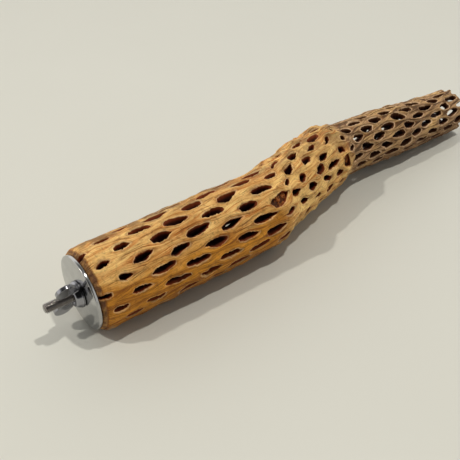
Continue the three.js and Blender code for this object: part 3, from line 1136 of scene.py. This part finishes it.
    def build(self, finish: Material) -> Object:
        """Build and dress the stem.

        Args:
            finish: The wood.

        Returns:
            The stem, lying on the table.
        """
        mesh = self.net_mesh()
        self.saw_ends(mesh)
        piece = add_piece(mesh, finish)
        run_tree(piece, self.weather_tree(finish), {
            "Lump Height": self.lump_height * MM, "Lump Spacing": self.lump_spacing * MM,
            "Ridge Height": self.ridge_height * MM, "Ridge Spacing": self.ridge_spacing * MM,
            "Seed": self.weather_seed})
        co = np.empty((len(piece.data.vertices), 3), np.float32)
        piece.data.vertices.foreach_get("co", co.ravel())
        co[:, 2] = np.maximum(co[:, 2], 0.0)
        piece.data.vertices.foreach_set("co", co.ravel())
        smooth_with_edges(piece.data, self.sharp)
        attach(piece, Body.PERCH.value)
        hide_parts("cholla_stem")
        return piece


@dataclass
class KnotPith:
    """Crumbly brown pith that still fills the large knots."""

    body: ChollaStem
    sunk: float = 3.0
    thickness: float = 3.0
    fill: float = 0.97
    roughness: float = 0.2
    crumb_size: Range = (0.5, 1.5)
    crumb_shape: tuple[float, float, float] = (1.0, 0.75, 0.6)
    crumb_shades: Range = (0.2, 1.0)
    crumb_turn: float = 6.28
    crumbs_per_mm2: float = 0.5
    rings: int = 6
    sides: int = 30
    sharp: float = 60.0
    seed: int = 4

    def bed(self) -> Mesh:
        """Shape an oval pad of pith inside each filled knot.

        Returns:
            The pads as one mesh.
        """
        bm = bmesh.new()
        rng = np.random.default_rng(self.seed)
        share = np.linspace(1, 0, self.rings + 1)[:-1, None]
        turn = np.linspace(0, math.tau, self.sides, endpoint=False)[None, :]
        for knot in (k for k in KNOTS if k.filled):
            hole = knot_hole(knot, self.body.spiral, self.body.stem)
            u = hole[2] / 2 * self.fill * share * np.cos(turn)
            v = hole[3] / 2 * self.fill * share * np.sin(turn)
            tilt = math.radians(hole[4])
            x = hole[0] + u * math.cos(tilt) - v * math.sin(tilt)
            arc = u * math.sin(tilt) + v * math.cos(tilt)
            angle = hole[1] + np.degrees(arc / self.body.stem.value(3, x))
            layers = []
            for depth in (self.sunk, self.sunk + self.thickness):
                rough = rng.normal(0, self.roughness, x.shape) * (depth == self.sunk)
                layers.append(self.body.place(x, angle, self.body.skin_radius(x, angle) - depth + rough))
            self.add_pad(bm, layers)
        return closed_mesh(bm, "knot_pith")

    def add_pad(self, bm: bmesh.types.BMesh, layers: list[np.ndarray]) -> None:
        """Join a top and a bottom layer of rings into a closed pad.

        Args:
            bm: The mesh that gets the pad.
            layers: The points of both layers, by ring and point.
        """
        grids = [[[bm.verts.new(spot) for spot in ring] for ring in layer] for layer in layers]
        for grid in grids:
            for outer, inner in zip(grid, grid[1:]):
                for k in range(self.sides):
                    after = (k + 1) % self.sides
                    bm.faces.new((outer[k], outer[after], inner[after], inner[k]))
            bm.faces.new(grid[-1])
        top, bottom = grids[0][0], grids[1][0]
        for k in range(self.sides):
            after = (k + 1) % self.sides
            bm.faces.new((top[k], bottom[k], bottom[after], top[after]))

    def crumb_tree(self, material: Material) -> NodeTree:
        """Build the geometry tree that scatters crumbs over the pads.

        Args:
            material: The finish to set.

        Returns:
            The tree.
        """
        g, source, sink = start_tree("Pith crumbs", "Density", "Smallest", "Largest", "Seed")
        seed = source["Seed"]
        spread = g.put("GeometryNodeDistributePointsOnFaces", {
            "Mesh": source["Geometry"], "Density": source["Density"], "Seed": seed})
        crumb = g.put("GeometryNodeMeshIcoSphere", {"Radius": 1.0, "Subdivisions": 1})
        sizes = {2: source["Smallest"], 3: source["Largest"], "Seed": seed}
        size = g.put("FunctionNodeRandomValue", sizes, data_type="FLOAT").outputs[1]
        turns = {0: (0.0, 0.0, 0.0), 1: (self.crumb_turn,) * 3}
        turn = g.put("FunctionNodeRandomValue", turns, data_type="FLOAT_VECTOR").outputs[0]
        crumbs = g.put("GeometryNodeInstanceOnPoints", {
            "Points": spread.outputs["Points"], "Instance": crumb.outputs["Mesh"],
            "Rotation": turn, "Scale": g.vector("MULTIPLY", self.crumb_shape, size)})
        shades = {2: self.crumb_shades[0], 3: self.crumb_shades[1], "Seed": seed}
        shade = g.put("FunctionNodeRandomValue", shades, data_type="FLOAT").outputs[1]
        toned = g.put("GeometryNodeStoreNamedAttribute", {
            "Geometry": crumbs.outputs[0], "Name": "crumb", "Value": shade},
            data_type="FLOAT", domain="INSTANCE")
        both = g.put("GeometryNodeJoinGeometry")
        g.feed(both.inputs[0], toned.outputs[0])
        g.feed(both.inputs[0], source["Geometry"])
        return finish_tree(g, sink, both.outputs[0], material)

    def build(self, finish: Material) -> Object:
        """Shape the pads, scatter the crumbs and dress them.

        Args:
            finish: The pith's finish.

        Returns:
            The pith.
        """
        piece = add_piece(self.bed(), finish)
        run_tree(piece, self.crumb_tree(finish), {
            "Density": self.crumbs_per_mm2 / MM**2, "Smallest": self.crumb_size[0] * MM,
            "Largest": self.crumb_size[1] * MM, "Seed": self.seed})
        smooth_with_edges(piece.data, self.sharp)
        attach(piece, Body.PERCH.value)
        return piece


@dataclass
class EndPlug:
    """The hardwood dowel glued in the near end, with a pilot hole for the bolt's screw."""

    axis: BoltAxis
    front: float = 2.3
    length: float = 40.0
    radius: float = 16.9
    chamfer: float = 1.0
    pilot: float = 3.3
    pilot_straight: float = 29.0
    pilot_end: float = 34.0
    sides: int = 72
    sharp: float = 30.0

    def build(self, finish: Material) -> Object:
        """Turn and dress the dowel.

        Args:
            finish: The hardwood.

        Returns:
            The dowel.
        """
        back = self.front + self.length
        profile = [
            (self.pilot, self.front), (self.radius - self.chamfer, self.front),
            (self.radius, self.front + self.chamfer), (self.radius, back - self.chamfer),
            (self.radius - self.chamfer, back), (0.0, back), (0.0, self.front + self.pilot_end),
            (self.pilot, self.front + self.pilot_straight)]
        mesh = turned_mesh("plug_dowel", profile, self.sides, self.axis)
        smooth_with_edges(mesh, self.sharp)
        piece = add_piece(mesh, finish)
        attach(piece, Body.PERCH.value)
        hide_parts("end_plug")
        return piece


@dataclass
class Washer:
    """The wide polished washer with rolled edges."""

    axis: BoltAxis
    radius: float = 22.5
    bore: float = 3.3
    thickness: float = 2.0
    edge: float = 0.5
    edge_steps: int = 5
    sides: int = 128
    sharp: float = 35.0

    def build(self, finish: Material) -> Object:
        """Turn and dress the washer.

        Args:
            finish: The polished steel.

        Returns:
            The washer.
        """
        turns = [math.pi / 2 * k / self.edge_steps for k in range(self.edge_steps + 1)]
        front = [(self.radius - self.edge * (1 - math.sin(a)), self.edge * (1 - math.cos(a))) for a in turns]
        back = [(r, self.thickness - x) for r, x in reversed(front)]
        profile = [(self.bore, 0.0), *front, *back, (self.bore, self.thickness)]
        mesh = turned_mesh("washer_disc", profile, self.sides, self.axis)
        smooth_with_edges(mesh, self.sharp)
        piece = add_piece(mesh, finish)
        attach(piece, Body.PERCH.value)
        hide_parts("washer")
        return piece


@dataclass
class HangerBolt:
    """The stud: a machine thread outside, a plain neck, and a coarse pointed screw in the plug."""

    axis: BoltAxis
    reach: float = 21.5
    radius: float = 3.0
    pitch: float = 1.0
    depth: float = 0.6
    chamfer: float = 0.7
    neck_end: float = 4.3
    neck: float = 1.0
    screw_radius: float = 2.5
    screw_length: float = 30.0
    screw_pitch: float = 2.5
    screw_depth: float = 0.7
    tip: float = 5.0
    groove: Range = (0.06, 0.44)
    run_out: float = 1.2
    most_cut: float = 0.4
    steps_per_mm: int = 8
    sides: int = 32
    sharp: float = 50.0

    def thread_tree(self, material: Material) -> NodeTree:
        """Build the geometry tree that cuts a helical thread into a rod along x.

        Args:
            material: The finish to set.

        Returns:
            The tree.
        """
        g, source, sink = start_tree("Cut thread", "Start", "End", "Pitch", "Depth", "Axis Y", "Axis Z")
        x, y, z = g.split(g.put("GeometryNodeInputPosition").outputs[0])
        out_y = g.math("SUBTRACT", y, source["Axis Y"])
        out_z = g.math("SUBTRACT", z, source["Axis Z"])
        turn = g.math("DIVIDE", g.math("ARCTAN2", out_z, out_y), math.tau)
        run = g.math("DIVIDE", x, source["Pitch"])
        wave = g.math("PINGPONG", g.math("FRACT", g.math("SUBTRACT", run, turn)), 0.5)
        ease_in = g.times(source["Pitch"], self.run_out)
        after = g.math("DIVIDE", g.math("SUBTRACT", x, source["Start"]), ease_in)
        before = g.math("DIVIDE", g.math("SUBTRACT", source["End"], x), ease_in)
        inside = g.math("MINIMUM", g.remap(after, 0.0, 1.0), g.remap(before, 0.0, 1.0))
        cut = g.times(g.times(g.remap(wave, *self.groove, 1.0, 0.0), inside), source["Depth"])
        out = g.combine(0.0, out_y, out_z)
        radius = g.put("ShaderNodeVectorMath", {0: out}, operation="LENGTH").outputs["Value"]
        held = g.math("MINIMUM", cut, g.times(radius, self.most_cut))
        offset = g.scaled(g.vector("NORMALIZE", out), g.times(held, -1.0))
        moved = g.put("GeometryNodeSetPosition", {"Geometry": source["Geometry"], "Offset": offset})
        return finish_tree(g, sink, moved.outputs[0], material)

    def rod_profile(self) -> list[Spot]:
        """Draw the plain rod in steps fine enough for the thread.

        Returns:
            Points of radius and place along x.
        """
        end = self.neck_end + self.screw_length
        steps = int((end + self.reach) * self.steps_per_mm)
        xs = np.linspace(-self.reach, end, steps)
        outside = np.minimum(self.radius, self.radius - self.chamfer + (xs + self.reach))
        screw = np.minimum(self.screw_radius, (end - xs) * self.screw_radius / self.tip)
        radii = np.where(xs < self.neck_end, outside, screw)
        return [(0.0, -self.reach), *zip(radii.tolist(), xs.tolist()), (0.0, end)]

    def build(self, finish: Material) -> Object:
        """Turn the rod, cut both threads and dress it.

        Args:
            finish: The thread's steel.

        Returns:
            The stud.
        """
        piece = add_piece(turned_mesh("threaded_stud", self.rod_profile(), self.sides, self.axis), finish)
        tree = self.thread_tree(finish)
        machine = (-self.reach - self.pitch, self.neck_end - self.neck, self.pitch, self.depth)
        screw = (self.neck_end, self.neck_end + self.screw_length, self.screw_pitch, self.screw_depth)
        for start, end, pitch, depth in (machine, screw):
            run_tree(piece, tree, {
                "Axis Y": self.axis.y * MM, "Axis Z": self.axis.z * MM,
                "Start": (self.axis.face_x + start) * MM, "End": (self.axis.face_x + end) * MM,
                "Pitch": pitch * MM, "Depth": depth * MM})
        smooth_with_edges(piece.data, self.sharp)
        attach(piece, Body.PERCH.value)
        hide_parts("hanger_bolt")
        return piece


@dataclass
class WingNut:
    """The cast wing nut: a tapered hub with two rounded wings that stand away from the washer."""

    axis: BoltAxis
    base: float = -0.3
    hub_base: float = 8.0
    hub_top: float = 6.8
    hub_height: float = 4.8
    hub_chamfer: float = 0.7
    hub_sides: int = 64
    skirt: float = 1.4
    bore: float = 3.35
    height: float = 15.0
    span: float = 33.0
    thickness: float = 2.4
    lobe: float = 5.8
    lobe_degrees: Range = (-30.0, 165.0)
    lobe_steps: int = 22
    bend_steps: int = 9
    root: float = 4.6
    foot: float = 1.2
    sink: float = 0.6
    under_bend: Spot = (2.6, 0.5)
    over_bend: Spot = (0.5, 0.5)
    lean: float = 25.0
    voxel: float = 0.24
    smooth_rounds: int = 5
    smooth_share: float = 0.5

    def hub(self) -> Mesh:
        """Turn the hub with its bore.

        Returns:
            The hub's mesh.
        """
        top = self.base - self.hub_height
        profile = [
            (self.bore, top), (self.hub_top - self.hub_chamfer, top), (self.hub_top, top + self.hub_chamfer),
            (self.hub_base, self.base - self.skirt), (self.hub_base, self.base), (self.bore, self.base)]
        return turned_mesh("wing_nut_casting", profile, self.hub_sides, self.axis)

    def bend(self, start: Spot, control: Spot, end: Spot) -> list[Spot]:
        """Draw a curve between two points.

        Args:
            start: The first point.
            control: The point that the curve leans towards.
            end: The last point.

        Returns:
            The points between the ends.
        """
        first, pull, last = (np.array(spot) for spot in (start, control, end))
        steps = np.linspace(0, 1, self.bend_steps)[1:-1]
        return [tuple((1 - t) ** 2 * first + 2 * t * (1 - t) * pull + t**2 * last) for t in steps]

    def wing_outline(self) -> list[Spot]:
        """Draw one wing.

        Returns:
            Points, each out from the bolt axis and away from the washer.
        """
        lobe_u, lobe_v = self.span / 2 - self.lobe, self.height - self.lobe
        turns = np.radians(np.linspace(*self.lobe_degrees, self.lobe_steps))
        arc = [(lobe_u + self.lobe * math.cos(a), lobe_v + self.lobe * math.sin(a)) for a in turns]
        start, end = (self.root, self.foot), (self.root, self.hub_height - self.sink)
        below = (self.hub_base + self.under_bend[0], self.foot + self.under_bend[1])
        above = (self.hub_top + self.over_bend[0], self.hub_height + self.over_bend[1])
        return [start, *self.bend(start, below, arc[0]), *arc, *self.bend(arc[-1], above, end), end]

    def add_wings(self, bm: bmesh.types.BMesh) -> None:
        """Add both wings to the hub as closed plates.

        Args:
            bm: The hub.
        """
        turn = Matrix.Rotation(math.radians(self.lean), 3, "X")
        outline = self.wing_outline()
        for side in (1, -1):
            plates = []
            for level in (-0.5, 0.5):
                ring = []
                for u, v in outline:
                    spot = turn @ Vector((0.0, level * self.thickness, side * u))
                    spot += Vector((self.axis.face_x + self.base - v, self.axis.y, self.axis.z))
                    ring.append(bm.verts.new(spot * MM))
                plates.append(ring)
            front, back = plates
            bm.faces.new(front)
            bm.faces.new(back[::-1])
            for k in range(len(outline)):
                after = (k + 1) % len(outline)
                bm.faces.new((front[after], front[k], back[k], back[after]))

    def build(self, finish: Material) -> Object:
        """Cast hub and wings as one body and dress it.

        Args:
            finish: The cast steel.

        Returns:
            The wing nut.
        """
        mesh = self.hub()
        bm = bmesh.new()
        bm.from_mesh(mesh)
        self.add_wings(bm)
        bmesh.ops.recalc_face_normals(bm, faces=bm.faces)
        bm.to_mesh(mesh)
        bm.free()
        piece = add_piece(mesh, finish)
        fused = piece.modifiers.new("Fused", "REMESH")
        fused.mode = "VOXEL"
        fused.voxel_size = self.voxel * MM
        tumbled = piece.modifiers.new("Tumbled", "SMOOTH")
        tumbled.iterations = self.smooth_rounds
        tumbled.factor = self.smooth_share
        bake_modifiers(piece)
        dress(piece.data, finish)
        piece.data.shade_smooth()
        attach(piece, Body.NUT.value)
        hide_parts("wing_nut")
        return piece


@dataclass(frozen=True)
class Lamp:
    """A small square lamp that faces the frame's origin. Its place and size are in metres."""

    name: str
    place: tuple[float, float, float]
    size: float
    watts: float
    tint: tuple[float, float, float]

    def hang(self) -> None:
        """Put the lamp in the scene."""
        data = bpy.data.lights.new(self.name, "AREA")
        data.size = self.size
        data.energy = self.watts
        data.color = self.tint
        lamp = bpy.data.objects.new(self.name, data)
        lamp.location = self.place
        lamp.rotation_euler = (-Vector(self.place)).to_track_quat("-Z", "Y").to_euler()
        bpy.context.scene.collection.objects.link(lamp)


@dataclass
class Studio:
    """A pale floor, two lamps in soft light from all round, and the camera."""

    axis: BoltAxis
    floor_size: float = 16.0
    floor_light: Colour = (0.7, 0.697, 0.639, 1.0)
    floor_dark: Colour = (0.67, 0.667, 0.609, 1.0)
    floor_clouds: float = 6.0
    floor_roughness: float = 0.6
    lamps: tuple[Lamp, ...] = (
        Lamp("right lamp", (0.39, -0.24, 1.85), 0.07, 12.5, (1.0, 0.97, 0.9)),
        Lamp("left lamp", (-1.22, 0.52, 1.75), 0.08, 14.0, (1.0, 0.96, 0.88)),
    )
    glow_tint: Colour = (1.0, 0.985, 0.94, 1.0)
    back_glow: float = 1.14
    front_glow: float = 0.72
    overhead_glow: float = 0.2
    shade_glow: float = 0.02
    side_edges: Range = (-0.6, 0.6)
    overhead_edges: Range = (0.5, 0.85)
    shade_edges: Range = (0.62, 0.9)
    azimuth: float = 36.78
    elevation: float = 38.09
    camera_place: tuple[float, float, float] = (-103.7, -278.3, 292.3)
    focal_pixels: float = 700.0
    image_pixels: float = 460.0
    sensor: float = 36.0
    nearest: float = 0.01

    def floor(self) -> None:
        """Lay the floor."""
        half = self.floor_size / 2
        corners = [(-half, -half, 0), (half, -half, 0), (half, half, 0), (-half, half, 0)]
        mesh = bpy.data.meshes.new("floor")
        mesh.from_pydata(corners, [], [(0, 1, 2, 3)])
        material, g, shader = start_material("Pale floor")
        cloud = g.noise(g.place(), self.floor_clouds, 4)
        g.feed(shader.inputs["Base Color"], g.mix(cloud, self.floor_dark, self.floor_light))
        g.feed(shader.inputs["Roughness"], self.floor_roughness)
        add_piece(mesh, material)

    def viewer(self) -> Vector:
        """The direction from the stem towards the photograph's viewer."""
        turn, lift = math.radians(self.azimuth), math.radians(self.elevation)
        return Vector((-math.sin(turn) * math.cos(lift), -math.cos(turn) * math.cos(lift), math.sin(lift)))

    def glow(self) -> None:
        """Surround the scene with soft light: bright at the sides, dim overhead and dark by the viewer."""
        world = bpy.data.worlds.new("soft light")
        world.use_nodes = True
        g = Graph(world.node_tree)
        looking = g.put("ShaderNodeTexCoord").outputs["Generated"]
        _, back, up = g.split(looking)
        sides = g.remap(back, *self.side_edges, self.front_glow, self.back_glow)
        overhead = g.remap(up, *self.overhead_edges)
        sides = g.times(sides, g.math("SUBTRACT", 1.0, overhead))
        glow = g.math("MULTIPLY_ADD", overhead, self.overhead_glow, sides)
        facing = g.put("ShaderNodeVectorMath", {0: looking, 1: self.viewer()}, operation="DOT_PRODUCT")
        shade = g.remap(facing.outputs["Value"], *self.shade_edges, 1.0, self.shade_glow)
        background = world.node_tree.nodes["Background"]
        g.feed(background.inputs["Strength"], g.times(glow, shade))
        g.feed(background.inputs["Color"], self.glow_tint)
        bpy.context.scene.world = world

    def camera(self) -> None:
        """Set the camera at the photograph's angle."""
        data = bpy.data.cameras.new("camera")
        data.sensor_width = self.sensor
        data.lens = self.sensor * self.focal_pixels / self.image_pixels
        data.clip_start = self.nearest
        camera = bpy.data.objects.new("camera", data)
        offset = Vector((self.axis.face_x, self.axis.y, 0))
        camera.location = (Vector(self.camera_place) + offset) * MM
        camera.rotation_euler = (math.radians(90 - self.elevation), 0, math.radians(-self.azimuth))
        bpy.context.scene.collection.objects.link(camera)
        bpy.context.scene.camera = camera
        bpy.context.scene.view_settings.view_transform = "Standard"

    def build(self) -> None:
        """Set up the floor, the soft light, the lamps and the camera."""
        self.floor()
        self.glow()
        for lamp in self.lamps:
            lamp.hang()
        self.camera()


def main() -> None:
    """Build every piece in order and report each one."""
    logging.basicConfig(level=logging.INFO, format="%(name)s: %(message)s")
    axis = BoltAxis.from_frame()
    Studio(axis).build()
    grain, marks = long_grain_group(), handling_group()
    wood = ChollaWoodFinish().material(axis, grain)
    plug = PlainWoodFinish("Plug hardwood", srgb(120, 82, 46), srgb(62, 36, 18)).material(grain)
    polished = SteelFinish("Polished steel", (0.47, 0.47, 0.47, 1), 0.1, 0.06, 0.03, 0.05).material(marks)
    thread = SteelFinish("Thread steel", (0.27, 0.25, 0.24, 1), 0.12, 0.08, 0.06, 0.1).material(marks)
    cast = SteelFinish("Cast steel", (0.34, 0.34, 0.37, 1), 0.05, 0.06, 0.05, 0.12).material(marks)
    # The pith's near-black ground is partly painted shade of the deep knot pits; its crumbs are paler at
    # random.
    pith = PlainWoodFinish("Knot pith", srgb(202, 122, 60), srgb(20, 5, 2), 0.7).material(grain)
    stem = ChollaStem(axis, StemCourse(), Holes())
    pieces = [
        stem.build(wood),
        KnotPith(stem).build(pith),
        EndPlug(axis).build(plug),
        Washer(axis).build(polished),
        HangerBolt(axis).build(thread),
        WingNut(axis).build(cast),
    ]
    for piece in pieces:
        LOG.info("%s: %d faces", piece.name, len(piece.data.polygons))


if __name__ == "__main__":
    main()
